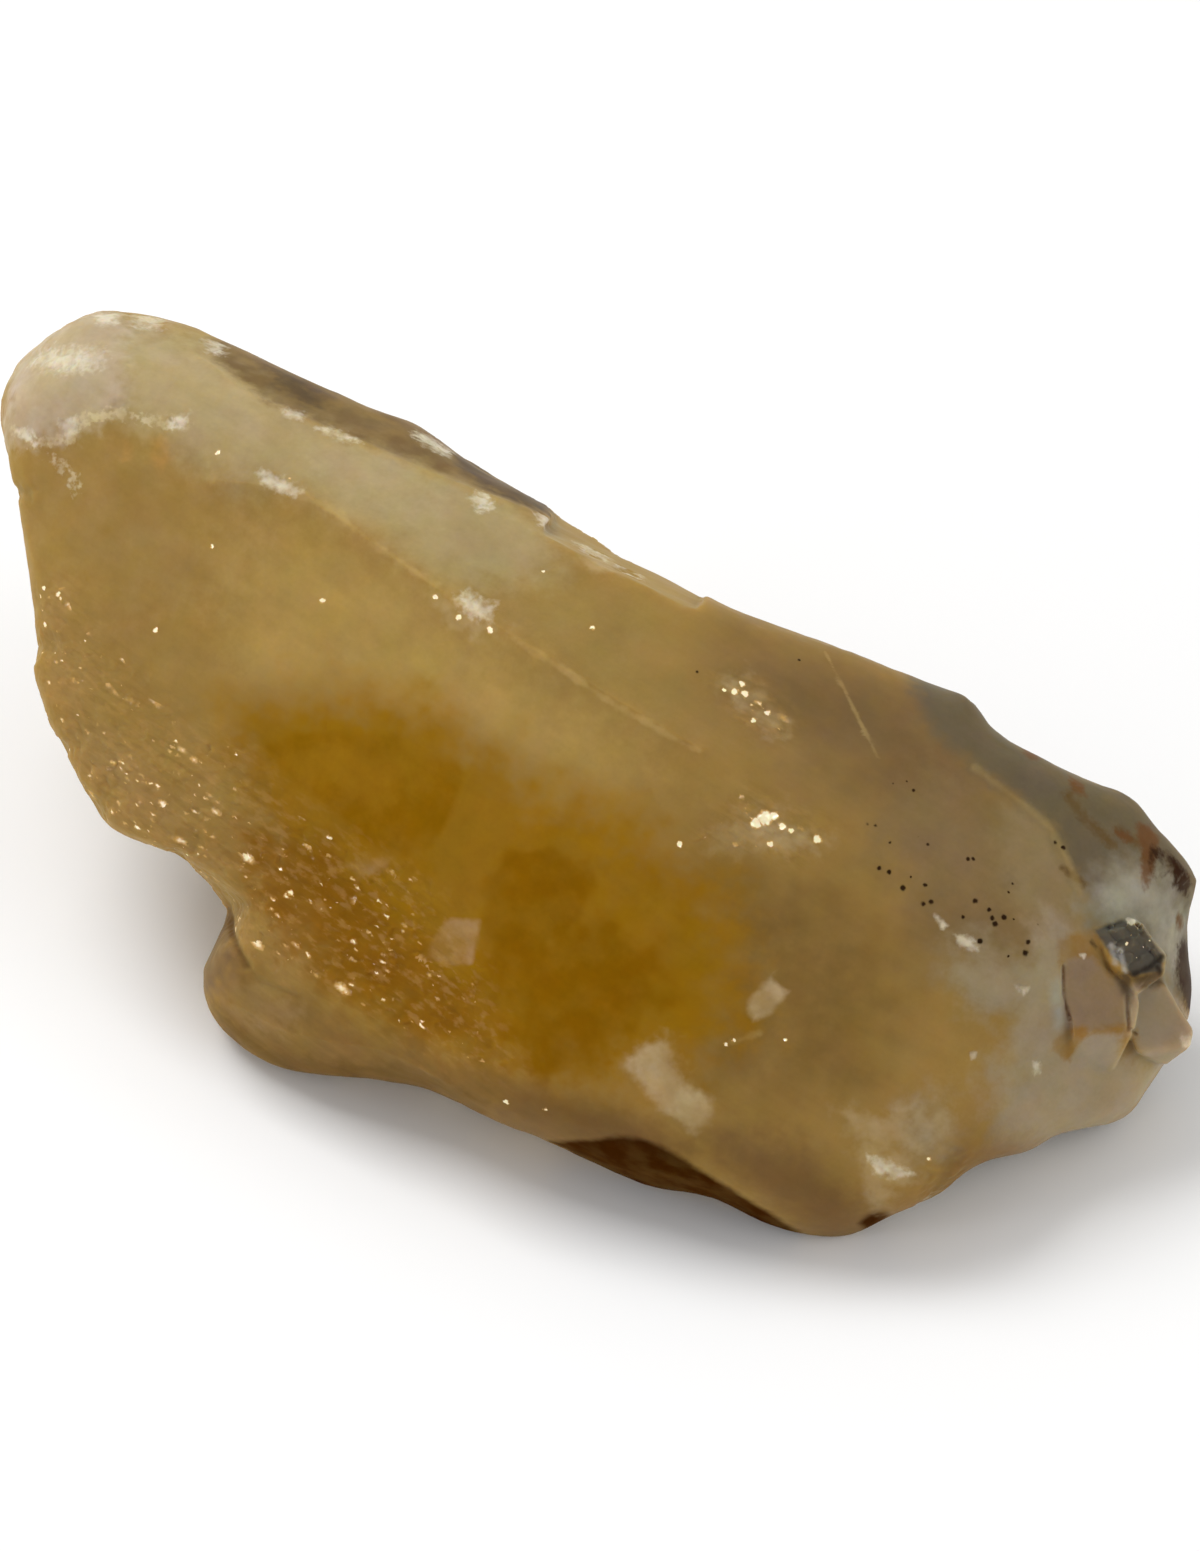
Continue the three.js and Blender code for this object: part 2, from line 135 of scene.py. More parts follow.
# Coloured zones and marks. Each is a list of outlines in photo pixels, with the softness of its edge in mm.
ZONES = {
    "straw": [
        ([(390, 500), (560, 560), (660, 600), (700, 680), (660, 740), (560, 690), (440, 600)], 6.0),
    ],
    "tan": [
        ([(60, 420), (10, 380), (90, 300), (200, 330), (300, 395), (440, 465), (545, 515), (560, 570),
          (480, 590), (430, 570), (375, 535), (300, 492), (225, 480), (170, 450), (120, 415)], 3.0),
    ],
    # the first outline is a painted sheen on the upper face; the second is a lighter patch at the tip
    "pale": [
        ([(300, 440), (350, 440), (450, 490), (440, 515), (380, 505), (320, 475)], 2.5),
        ([(120, 330), (200, 350), (280, 410), (250, 450), (170, 430), (125, 400)], 3.0),
    ],
    "gold": [
        ([(230, 540), (330, 530), (440, 610), (560, 700), (640, 780), (560, 790), (450, 740),
          (330, 700), (240, 680)], 6.0),
    ],
    # painted shade: the right-hand part, darker because the light falls from the left
    "dusk": [
        ([(740, 620), (980, 690), (1030, 790), (960, 860), (880, 830), (790, 760), (720, 680)], 9.0),
    ],
    "rosy": [
        ([(880, 840), (930, 770), (1010, 800), (1060, 850), (1085, 920), (1060, 970), (1000, 1000),
          (920, 960)], 5.0),
    ],
    "beige": [
        ([(1000, 800), (1030, 800), (1070, 850), (1095, 930), (1060, 950), (1020, 930), (1000, 860)], 2.0),
    ],
    "wood": [
        ([(690, 860), (800, 870), (880, 920), (900, 1000), (860, 1090), (760, 1110), (680, 1080),
          (690, 960)], 6.0),
    ],
    "amber": [
        ([(215, 710), (330, 690), (430, 705), (520, 770), (620, 810), (740, 900), (750, 1020),
          (670, 1085), (540, 1090), (440, 1060), (330, 1000), (290, 880)], 5.0),
    ],
    "honey": [
        ([(268, 748), (297, 733), (338, 735), (401, 735), (404, 756), (431, 760), (466, 757),
          (457, 796), (446, 822), (431, 850), (397, 856), (379, 850), (352, 832), (330, 812),
          (300, 785)], 0.7),
    ],
    "glow": [
        ([(285, 750), (400, 742), (425, 770), (385, 805), (330, 800)], 2.5),
    ],
    "syrup": [
        ([(484, 905), (484, 878), (505, 852), (540, 846), (575, 862), (592, 858), (598, 880),
          (585, 910), (570, 940), (535, 955), (500, 950), (482, 930)], 0.9),
        ([(482, 950), (530, 930), (590, 920), (650, 950), (664, 990), (630, 1045), (580, 1072),
          (536, 1072), (504, 1042), (486, 1004)], 2.5),
    ],
    "wedge": [
        ([(470, 757), (512, 780), (515, 835), (484, 872), (477, 918), (438, 918), (433, 856),
          (449, 822), (460, 796)], 0.6),
        ([(258, 752), (290, 785), (318, 808), (348, 832), (334, 862), (300, 848), (268, 812),
          (246, 772)], 1.3),
    ],
    "rim": [
        ([(30, 600), (60, 610), (110, 730), (190, 820), (250, 940), (225, 920), (170, 860), (100, 800),
          (60, 740)], 3.0),
    ],
    "bronze": [
        ([(240, 830), (330, 850), (400, 930), (470, 990), (500, 1050), (430, 1040), (330, 980),
          (260, 920)], 3.5),
    ],
    "milk": [
        ([(945, 965), (985, 945), (1040, 955), (1060, 985), (1050, 1020), (980, 1015)], 3.0),
        ([(1030, 930), (1060, 920), (1090, 960), (1120, 1040), (1175, 1062), (1150, 1110), (1110, 1140),
          (1060, 1150), (1000, 1160), (985, 1110), (1015, 1020)], 3.0),
        ([(900, 1110), (940, 1100), (950, 1150), (915, 1165)], 2.5),
    ],
    # painted shade: darker along the lower edges where the stone turns under; the second outline is a lower
    # face in shade
    "low": [
        ([(250, 1030), (330, 1050), (420, 1060), (520, 1085), (640, 1115), (700, 1150), (640, 1160),
          (500, 1140), (300, 1100)], 2.5),
        ([(680, 1120), (790, 1140), (850, 1190), (900, 1205), (960, 1150), (1000, 1135), (1060, 1150),
          (960, 1230), (820, 1250)], 3.5),
    ],
    "lobe": [
        ([(238, 962), (330, 1002), (430, 1052), (520, 1090), (480, 1125), (330, 1090), (225, 1045),
          (200, 995)], 2.0),
    ],
    "pith": [
        ([(225, 975), (262, 985), (300, 1010), (290, 1035), (250, 1030), (225, 1005)], 1.5),
    ],
    # painted shade: darker along the lobe's lower edge, where it turns under
    "hem": [
        ([(214, 1002), (262, 1046), (301, 1058), (357, 1063), (394, 1062), (431, 1074), (486, 1104),
          (490, 1140), (431, 1110), (357, 1100), (280, 1090), (230, 1055), (200, 1005)], 0.9),
    ],
    "smudge": [
        ([(8, 445), (120, 432), (200, 452), (262, 520), (240, 600), (120, 612), (30, 570), (8, 510)], 3.0),
    ],
    # painted shadow: the foot's left face, darkened under the overhang
    "foot": [
        ([(195, 930), (228, 910), (240, 960), (222, 985), (195, 1000)], 1.6),
    ],
    "frost": [
        ([(-10, 440), (0, 340), (90, 290), (130, 330), (125, 400), (100, 425), (70, 424), (74, 438),
          (30, 442)], 1.6),
    ],
    # painted shade: the narrow top strip, which faces up and back, away from the light
    "smoke": [
        ([(200, 300), (330, 350), (440, 400), (570, 480), (548, 518), (500, 500), (430, 470),
          (330, 432), (270, 402), (215, 360)], 1.0),
    ],
    "slate": [
        ([(268, 366), (300, 376), (330, 396), (318, 408), (286, 396)], 1.4),
        ([(455, 446), (540, 480), (550, 516), (500, 496), (458, 470)], 0.7),
    ],
    # painted shade: the dark strip of the underside, which faces down and lies in shadow
    "umber": [
        ([(546, 1141), (603, 1139), (619, 1135), (646, 1140), (672, 1150), (692, 1165), (732, 1189),
          (778, 1218), (815, 1238), (780, 1270), (560, 1220)], 0.5),
        ([(858, 1222), (874, 1211), (890, 1212), (874, 1240)], 0.6),
    ],
    # painted shade: the white calcite of the end face, greyed where it faces away from the light
    "end": [
        ([(905, 650), (940, 650), (1000, 680), (1010, 735), (1130, 790), (1230, 880), (1230, 1010),
          (1170, 1000), (1163, 965), (1130, 930), (1090, 927), (1081, 893), (1065, 856), (1051, 828),
          (1012, 795), (975, 767), (936, 739), (917, 702)], 1.6),
    ],
    "bright": [
        ([(1086, 905), (1110, 872), (1145, 866), (1174, 890), (1182, 920), (1180, 965), (1168, 985),
          (1160, 955), (1144, 924), (1110, 918)], 3.2),
        ([(1050, 985), (1061, 976), (1064, 1022), (1054, 1032)], 0.7),
    ],
    "rhomb": [
        ([(1060, 968), (1082, 946), (1130, 990), (1130, 1036), (1066, 1030)], 0.5),
    ],
    "fair": [
        ([(1080, 1034), (1128, 1032), (1102, 1076), (1080, 1066)], 0.6),
        ([(1126, 985), (1160, 976), (1215, 1040), (1165, 1078), (1124, 1036)], 0.5),
    ],
    "inclusion": [
        ([(1093, 930), (1121, 920), (1140, 924), (1164, 958), (1161, 972), (1134, 976), (1112, 957)], 0.3),
    ],
    # painted shade in the hollows beside the rhomb and the inclusion
    "sunk": [
        ([(1134, 975), (1162, 970), (1165, 985), (1140, 990)], 0.5),
        ([(1116, 970), (1132, 974), (1131, 1004), (1122, 994)], 0.5),
    ],
    "ochre": [
        ([(1058, 942), (1070, 935), (1093, 931), (1118, 972), (1113, 982), (1092, 956), (1070, 958),
          (1060, 966)], 0.5),
        ([(1050, 1047), (1066, 1028), (1086, 1026), (1090, 1034), (1080, 1043), (1068, 1064)], 0.4),
        ([(1122, 1032), (1136, 1030), (1130, 1064), (1122, 1060)], 0.9),
        ([(1090, 1034), (1104, 1027), (1128, 1024), (1127, 1034)], 0.6),
    ],
    "rust": [
        ([(1018, 744), (1036, 751), (1040, 760), (1022, 757)], 0.4),
        ([(1068, 776), (1084, 784), (1086, 797), (1074, 793)], 0.4),
        ([(1134, 821), (1148, 825), (1160, 838), (1156, 860), (1146, 896), (1141, 880), (1140, 846)], 0.4),
        ([(1114, 830), (1128, 832), (1136, 842), (1124, 842)], 0.4),
        ([(1176, 912), (1183, 918), (1182, 932), (1176, 926)], 0.4),
    ],
    "bark": [
        ([(1178, 945), (1186, 936), (1200, 965), (1200, 1018), (1186, 1010), (1176, 975)], 0.6),
        ([(1152, 842), (1160, 850), (1156, 868), (1164, 886), (1156, 880), (1148, 862)], 0.4),
        ([(1163, 850), (1178, 862), (1192, 880), (1188, 898), (1176, 888)], 0.4),
    ],
    "blush": [
        ([(427, 958), (434, 936), (444, 921), (462, 918), (479, 921), (479, 940), (471, 963),
          (456, 965)], 0.4),
        ([(349, 866), (366, 858), (392, 857), (386, 868), (360, 877)], 0.8),
    ],
    "patch": [
        ([(745, 1008), (760, 985), (770, 978), (788, 992), (770, 1016), (752, 1019)], 0.45),
        ([(764, 973), (778, 968), (778, 976)], 0.3),
        ([(622, 1064), (640, 1048), (668, 1043), (672, 1062), (690, 1090), (712, 1100), (712, 1122),
          (696, 1132), (676, 1118), (650, 1095)], 0.8),
    ],
    "chip": [
        ([(25, 362), (45, 350), (104, 352), (100, 366), (60, 370)], 1.2),
        ([(96, 312), (118, 312), (118, 322), (100, 324)], 0.7),
        ([(132, 314), (168, 318), (160, 328), (138, 326)], 0.9),
        ([(206, 338), (224, 344), (222, 355), (210, 350)], 0.9),
        ([(14, 428), (30, 430), (36, 444), (24, 440)], 0.5),
        ([(60, 422), (76, 416), (76, 432), (66, 438)], 0.5),
        ([(169, 420), (188, 414), (184, 429), (172, 428)], 0.7),
        ([(258, 472), (272, 474), (303, 490), (296, 496), (266, 486)], 0.6),
        ([(284, 409), (303, 414), (302, 421), (286, 416)], 0.5),
        ([(316, 427), (334, 430), (362, 442), (340, 440)], 0.5),
        ([(414, 434), (430, 428), (452, 452), (446, 460)], 0.7),
        ([(456, 598), (470, 592), (480, 602), (494, 604), (488, 620), (470, 616)], 0.8),
        ([(471, 496), (486, 494), (493, 507), (478, 510)], 0.7),
        ([(536, 512), (556, 522), (552, 530), (540, 524)], 0.6),
        ([(575, 541), (606, 546), (606, 560), (590, 564)], 0.7),
        ([(616, 558), (646, 566), (636, 584), (622, 580)], 0.7),
        ([(934, 914), (948, 926), (942, 929)], 0.3),
        ([(955, 935), (972, 938), (978, 950), (960, 947)], 0.4),
        ([(1016, 985), (1029, 988), (1024, 995)], 0.3),
        ([(1034, 1063), (1040, 1062), (1040, 1073), (1035, 1074)], 0.3),
        ([(971, 1054), (976, 1053), (976, 1058), (972, 1059)], 0.3),
        ([(1079, 955), (1086, 954), (1084, 959)], 0.2),
        # the next two outlines are painted glints: one on the grey inclusion, one on the right rhomb
        ([(1126, 918), (1134, 919), (1136, 924), (1128, 925)], 0.2),
        ([(1181, 1036), (1190, 1036), (1191, 1046), (1183, 1047)], 0.5),
        ([(868, 1156), (886, 1160), (912, 1174), (896, 1178), (876, 1172)], 0.5),
    ],
    "veil": [
        ([(740, 812), (776, 812), (786, 828), (830, 846), (800, 848), (710, 850), (720, 836)], 1.6),
        ([(724, 682), (746, 680), (770, 704), (786, 730), (770, 728), (748, 706)], 1.6),
        ([(436, 596), (460, 612), (498, 626), (484, 632), (450, 622)], 1.4),
        ([(584, 559), (613, 559), (612, 574), (594, 572)], 0.9),
        ([(848, 1112), (880, 1120), (940, 1112), (940, 1130), (900, 1160), (860, 1150)], 2.0),
        ([(856, 1146), (886, 1152), (916, 1172), (912, 1184), (892, 1186), (888, 1210), (870, 1210),
          (864, 1180)], 1.0),
        ([(640, 1048), (668, 1040), (676, 1062), (690, 1090), (700, 1120), (670, 1110), (646, 1090)], 1.6),
    ],
    "fleck": [
        ([(121, 443), (130, 441), (131, 456), (124, 461)], 0.6),
        ([(151, 436), (162, 434), (168, 462), (166, 474), (154, 468)], 0.9),
    ],
    "sparkle": [
        ([(30, 590), (70, 580), (150, 700), (230, 740), (300, 810), (420, 880), (470, 950), (520, 1070),
          (430, 1055), (330, 1000), (230, 940), (120, 850), (40, 740)], 4.0),
        ([(712, 680), (748, 676), (790, 712), (784, 744), (742, 724)], 2.0),
        ([(690, 840), (745, 786), (840, 826), (800, 864)], 2.2),
    ],
}

# Thin lines through photo pixels, with half their width in mm
LINES = {
    # painted highlights: lighter lines along the ridges and the end face's edge, and a short row of glints
    "edge": [
        ([(300, 492), (335, 512), (375, 545), (435, 585)], 0.35),
        ([(515, 640), (560, 668), (620, 708), (700, 752)], 0.3),
        ([(284, 412), (340, 436), (440, 478), (548, 520)], 0.4),
        ([(825, 652), (852, 705), (878, 758)], 0.14),
        ([(975, 767), (1012, 795), (1051, 828), (1065, 856), (1081, 893)], 0.35),
        ([(730, 1042), (760, 1034)], 0.3),
    ],
    # white beads along the step under the frost, partly a painted highlight of the step's bright edge
    "bead": [
        ([(14, 430), (36, 443), (72, 438), (77, 420), (112, 413), (166, 423), (186, 420)], 0.4),
        ([(54, 460), (62, 470)], 0.4),
        ([(70, 474), (76, 491)], 0.4),
    ],
    "crack": [
        ([(1063, 966), (1064, 992), (1069, 1020)], 0.16),
        ([(1127, 996), (1129, 1030)], 0.2),
        ([(1130, 1028), (1136, 1034)], 0.16),
        ([(222, 910), (232, 935), (246, 965)], 0.4),
    ],
    "dent": [
        ([(-10, 490), (26, 492)], 0.9),
        ([(20, 655), (50, 640)], 1.0),
        ([(45, 752), (78, 738)], 1.0),
        ([(95, 808), (118, 782)], 1.2),
        ([(160, 872), (190, 845)], 1.0),
        ([(930, 1200), (950, 1160)], 1.2),
    ],
    "ink": [
        ([(1134, 974), (1150, 967), (1162, 957)], 0.3),
        ([(1091, 941), (1096, 948)], 0.2),
        ([(1157, 966), (1160, 972)], 0.3),
    ],
    # painted glints on the grey inclusion
    "gleam": [
        ([(1111, 946), (1116, 962)], 0.35),
        ([(1120, 952), (1124, 970)], 0.3),
    ],
    "stain": [
        ([(1068, 796), (1080, 813), (1101, 834), (1112, 845)], 0.5),
        ([(1063, 868), (1072, 874), (1084, 884)], 0.35),
        ([(1118, 830), (1136, 842)], 0.5),
    ],
}

# Body colours, which run through the stone, and among them the painted shade on the right and the painted
# sheen on the upper face; the other zones are marks on its seen side
THROUGH = {
    "straw", "tan", "pale", "gold", "dusk", "rosy", "beige", "wood", "amber", "honey", "glow", "syrup",
    "wedge", "rim", "bronze", "milk", "lobe",
}
BOTH_SIDES = {"sparkle", "chip"}  # marks of the seen side that the unseen sides have too
COMPACT = {"chip", "slate"}  # small marks that don't stretch where the stone lies along the line of sight
COMPACT_REACH = 1.2
FIELD_REACH = 4.0  # the furthest that a field counts, in softnesses of a zone's edge
WRAP = (1.5, 5.0)  # how far marks of the relief reach round the edge of what is seen, in mm
FADE = (1.5, 9.0)  # the same for colours

# Faces of the back that lie along the line of sight, and the depth in mm that hides marks there
EDGE_ON_FROM = 0.12
EDGE_ON_DEPTH = 40.0
LOOKS_BACK = (0.2, 0.5)
LOOKS_TO_BASE = (0.5, 0.25)

# Marks of the unseen sides
CLUMP_SHARPNESS = 2.5
CLUMP_FINENESS, FINE_CLUMPS = 2.6, 0.5
BASE_FROM, BASE_SOFTNESS = 52.5, 7

# Sizes in mm of the noise that shakes the zones' edges and of the puffs that thin them
BROAD_SHAKE, FINE_SHAKE, TINY_SHAKE = 4.0, 1.8, 0.7
FINE_SHARE = 0.6
FADE_SHAKE = 0.8
PUFF_SIZE = 3.5
PUFF_EDGE = (0.35, 0.65)

# Clouds in the body: rows of a size in mm, a detail and a strength
CLOUDS = [(6.0, 5.0, 0.07), (1.8, 5.0, 0.045), (0.5, 3.0, 0.03)]
MIDDLE = (0.5, 0.5, 0.5)  # the middle of a noise texture's colours
HUE_SIZE = 5.0
HUE_STRENGTH = (0.08, 0.12, 0.4)

# Streaks along the cleavage: their turn in the photo, a streak's size in mm and how strong they are
STREAK_TURN = math.radians(-33)
STREAK_SIZE = (8.0, 0.9, 2.0)
STREAKS, LOBE_STREAKS, SPARKLE_STREAKS = 0.03, 0.06, 0.05
FIBRE_EDGE = (0.5, 0.66)

# Small facets of the sparkling zones, whose glints are also painted into the colour: the size of a cell in
# mm and the share of cells that glint
GLINT_SETS = [((2.8, 1.3, 1.8), 0.6), ((1.3, 0.6, 0.8), 0.5)]
GLINT_BUNCHES = 4.0
BUNCH_EDGE = (0.35, 0.55)
FACET_LEAST, FACET_SPREAD = 0.1, 0.34  # a facet's radius, in cells
FACET_EDGE = (1.5, 0.1)
FACET_DIMMEST = 0.3
FACET_ONSET = 0.02
FACET_TWIST, GLINT_SHAKE = 0.6, 0.8  # the size in mm of the noise that turns facets, and how far it does
GLINT_AIM = RIGHT * -0.49 + UP * -0.03 + BACK * 0.87
AIM_SHARE = 0.85
DOT_SHAKE = 0.5  # the size in mm of the noise that makes dots uneven
DOT_EDGE = (1.4, 0.6)
# The painted glints' gold halo and cream core
HALO_EDGE, HALO_STRENGTH = (0.0, 0.5), 0.75
CORE_EDGE = (0.4, 0.85)
SPARK_UNEVENNESS, SPECK_UNEVENNESS = 0.6, 0.25

# The surface. What is alike all over is set as it is; the underside strip, whose dark colour is painted
# shade, has less sheen.
SURFACE = {
    "Roughness": 0.42,
    "Specular IOR Level": 0.3,
    "Subsurface Weight": 0.8,
    "Subsurface Radius": (1.0, 0.6, 0.25),
    "Subsurface Scale": 4 * MM,
    "Coat Roughness": 0.08,
    "Coat IOR": 1.66,
}
STONE_IOR = 1.08
UNDERSIDE_SHADE_IOR_DROP = 0.07

# The studio. A light has a direction as right, up and toward the viewer, distance and size in m, and watts.
FLOOR_REACH = 6.0
FLOOR_COLOUR = (0.95, 0.95, 0.95, 1)
FLOOR_ROUGHNESS = 0.9
SKY_COLOUR = (1, 1, 1, 1)
SKY_STRENGTH = 0.55
LIGHTS = [
    ("key", (-0.4, 0.8, 0.45), 0.9, 0.5, 4.6),
    ("fill", (0.8, 0.1, 0.6), 1.0, 0.8, 2.4),
    ("side", (-0.85, -0.05, 0.5), 0.8, 0.14, 0.6),
]


def photo_ray(x, y):
    """Direction from the camera through a pixel of the photograph."""
    scale = LENS / SENSOR * PHOTO_HEIGHT
    across = (x - PHOTO_WIDTH / 2) / scale
    above = (PHOTO_HEIGHT / 2 - y) / scale
    return (RIGHT * across + UP * above - BACK).normalized()


def in_axes(points):
    """Points in mm from the camera's target: to the right, up and toward the viewer."""
    return (np.asarray(points) - np.array(CAMERA_TARGET)) @ AXES.T / MM


def tree_of(mesh):
    return BVHTree.FromPolygons([v.co for v in mesh.vertices], [p.vertices for p in mesh.polygons])


STONE_TREE = tree_of(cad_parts[NODE].data)


def on_stone(x, y):
    """Where a pixel of the photograph falls on the stone, in_axes; beside it, on the target's plane."""
    ray = photo_ray(x, y)
    hit = STONE_TREE.ray_cast(EYE, ray)[0]
    if hit is None:
        hit = EYE - ray * (CAMERA_DISTANCE / ray.dot(BACK))
    return in_axes(hit)


def random_at(cells, seed):
    """A fixed random number from 0 to 1 for each cell of a lattice."""
    x, y, z = (cells[:, i].astype(np.uint32) for i in range(3))
    h = x * np.uint32(0x8DA6B343) ^ y * np.uint32(0xD8163841) ^ z * np.uint32(0xCB1AB31F)
    h = h + np.uint32(seed * 0x9E3779B1 & 0xFFFFFFFF)
    h = (h ^ (h >> np.uint32(15))) * np.uint32(0x2C1B3C6D)
    h = (h ^ (h >> np.uint32(12))) * np.uint32(0x297A2D39)
    h = h ^ (h >> np.uint32(15))
    return h.astype(np.float64) / 2**32


def noise(points, seed):
    """Smooth noise from -1 to 1, with lumps one unit across."""
    cells = np.floor(points).astype(np.int64)
    share = points - cells
    share = share * share * (3 - 2 * share)
    total = np.zeros(len(points))
    for corner in itertools.product((0, 1), repeat=3):
        weight = np.prod(np.where(corner, share, 1 - share), axis=1)
        total += weight * random_at(cells + np.array(corner), seed)
    return total * 2 - 1


def lumps(places, rows):
    """Noise of several sizes, in mm, from rows of a height, a size and a seed."""
    return sum(height * noise(places / size, seed) for height, size, seed in rows)


def nearest_cells(points, seed):
    """The nearest of a lattice's shaken points: the offset from it and three random numbers of its own."""
    base = np.floor(points).astype(np.int64)
    best = np.full(len(points), np.inf)
    offset = np.zeros_like(points)
    own = np.zeros_like(points)
    for step in itertools.product((-1, 0, 1), repeat=3):
        cell = base + np.array(step)
        shaken = np.stack([random_at(cell, seed + i) for i in range(3)], axis=1)
        away = points - cell - shaken
        distance = (away**2).sum(1)
        nearer = distance < best
        best[nearer] = distance[nearer]
        offset[nearer] = away[nearer]
        own[nearer] = np.stack([random_at(cell[nearer], seed + 3 + i) for i in range(3)], axis=1)
    return offset, own


def smoothstep(low, high, value):
    share = np.clip((value - low) / (high - low), 0, 1)
    return share * share * (3 - 2 * share)


def line_distance(points, corners):
    """Distance in mm from each point of the photograph's plane to a line through corners."""
    nearest = np.full(len(points), np.inf)
    for a, b in zip(corners, corners[1:]):
        edge = b - a
        along = np.clip((points - a) @ edge / (edge @ edge), 0, 1)
        nearest = np.minimum(nearest, np.hypot(*(points - a - along[:, None] * edge).T))
    return nearest


def inside_distance(points, corners):
    """Distance in mm from each point of the photograph's plane to an outline, positive inside it."""
    closed = np.vstack([corners, corners[:1]])
    inside = np.zeros(len(points), bool)
    for a, b in zip(closed, closed[1:]):
        edge = b - a
        crosses = (a[1] > points[:, 1]) != (b[1] > points[:, 1])
        rise = edge[1] if edge[1] else 1.0
        inside ^= crosses & (points[:, 0] < edge[0] * (points[:, 1] - a[1]) / rise + a[0])
    nearest = line_distance(points, closed)
    return np.where(inside, nearest, -nearest)


def flat_on_stone(pixels):
    return np.array([on_stone(*pixel)[:2] for pixel in pixels])


def behind(points):
    """How far in mm each point lies behind what the photograph's viewer sees along the same line."""
    depth = np.zeros(len(points))
    for index, point in enumerate(points):
        ray = Vector(point) - EYE
        distance = STONE_TREE.ray_cast(EYE, ray)[3]
        if distance is not None:
            depth[index] = (ray.length - distance) / MM
    return depth


def turned_away(normals):
    """Depth in mm to add where the back lies along the line of sight, so that marks don't smear over it."""
    edge_on = np.maximum(0, EDGE_ON_FROM - normals @ np.array(BACK))
    depth = EDGE_ON_DEPTH * edge_on * smoothstep(*LOOKS_BACK, normals[:, 1])
    return depth * smoothstep(*LOOKS_TO_BASE, normals[:, 0])


def clumps(size, share, seed):
    """A field for marks of a size in mm over the unseen sides; a lower share makes fewer of them."""
    def field(points):
        places = in_axes(points)
        fine = noise(places / size * CLUMP_FINENESS, seed + 1)
        value = noise(places / size, seed) + FINE_CLUMPS * fine
        return (value - 1 + share) * CLUMP_SHARPNESS
    return field


def base_end(points):
    """A field for the broken base of the crystal."""
    return (points[:, 0] / MM - BASE_FROM) / BASE_SOFTNESS


# What the unseen sides have. Sparkle and chip are the same marks as on the seen side.
UNSEEN = {
    "butt": base_end,
    "grime": clumps(14, 0.6, 411),
    "bruise": clumps(9, 0.4, 401),
    "sparkle": clumps(15, 0.55, 421),
    "chip": clumps(5, 0.1, 431),
}


def compact_limit(places, corners, soft):
    """A field that ends a small mark at its own size from its middle, in every direction."""
    hit = STONE_TREE.ray_cast(EYE, photo_ray(*np.mean(corners, axis=0)))[0]
    if hit is None:
        return np.full(len(places), FIELD_REACH)
    middle = in_axes(hit)
    size = np.hypot(*(flat_on_stone(corners) - middle[:2]).T).max()
    return (COMPACT_REACH * size - np.linalg.norm(places - middle, axis=1)) / soft


def zone_fields(points, depths, names):
    """For each named zone or line, how deep each point of the stone lies in it, in edge softnesses."""
    places = in_axes(points)
    flat = places[:, :2]
    hidden = smoothstep(*WRAP, depths)
    fields = {}
    for name in names:
        field = np.full(len(points), -FIELD_REACH)
        for corners, soft in ZONES.get(name, ()):
            inside = inside_distance(flat, flat_on_stone(corners)) / soft
            if name in COMPACT:
                inside = np.minimum(inside, compact_limit(places, corners, soft))
            field = np.maximum(field, inside)
        for corners, width in LINES.get(name, ()):
            field = np.maximum(field, 1 - line_distance(flat, flat_on_stone(corners)) / width)
        if name in BOTH_SIDES:
            field -= 2 * FIELD_REACH * hidden
        if name in UNSEEN:
            field = np.maximum(field, UNSEEN[name](points) - 2 * FIELD_REACH * (1 - hidden))
        fields[name] = np.clip(field, -FIELD_REACH, FIELD_REACH)
    return fields


def object_from(mesh, name):
    made = bpy.data.objects.new(name, mesh)
    bpy.context.scene.collection.objects.link(made)
    return made


def applied(piece):
    """The piece's mesh with its modifiers applied; the piece itself is removed."""
    graph = bpy.context.evaluated_depsgraph_get()
    mesh = bpy.data.meshes.new_from_object(piece.evaluated_get(graph))
    bpy.data.objects.remove(piece)
    return mesh


def rounded_base():
    """The solid with its facets rounded off, but not its true edges, as an even fine mesh."""
    shell = bmesh.new()
    shell.from_mesh(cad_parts[NODE].data)
    bmesh.ops.remove_doubles(shell, verts=shell.verts, dist=WELD)
    crease = shell.edges.layers.float.new("crease_edge")
    for edge in shell.edges:
        if edge.is_manifold and edge.calc_face_angle() > CREASE_ANGLE:
            edge[crease] = 1.0
    mesh = bpy.data.meshes.new("base")
    shell.to_mesh(mesh)
    shell.free()
    base = object_from(mesh, "base")
    rounding = base.modifiers.new("round", "SUBSURF")
    rounding.levels = rounding.render_levels = ROUNDING_LEVELS
    remesh = base.modifiers.new("fine", "REMESH")
    remesh.mode = "VOXEL"
    remesh.voxel_size = VOXEL
    return applied(base)


def vertex_array(mesh):
    points = np.empty(len(mesh.vertices) * 3, np.float32)
    mesh.vertices.foreach_get("co", points)
    return points.reshape(-1, 3).astype(np.float64)


def normal_array(mesh):
    normals = np.empty(len(mesh.vertices) * 3, np.float32)
    mesh.vertex_normals.foreach_get("vector", normals)
    return normals.reshape(-1, 3).astype(np.float64)


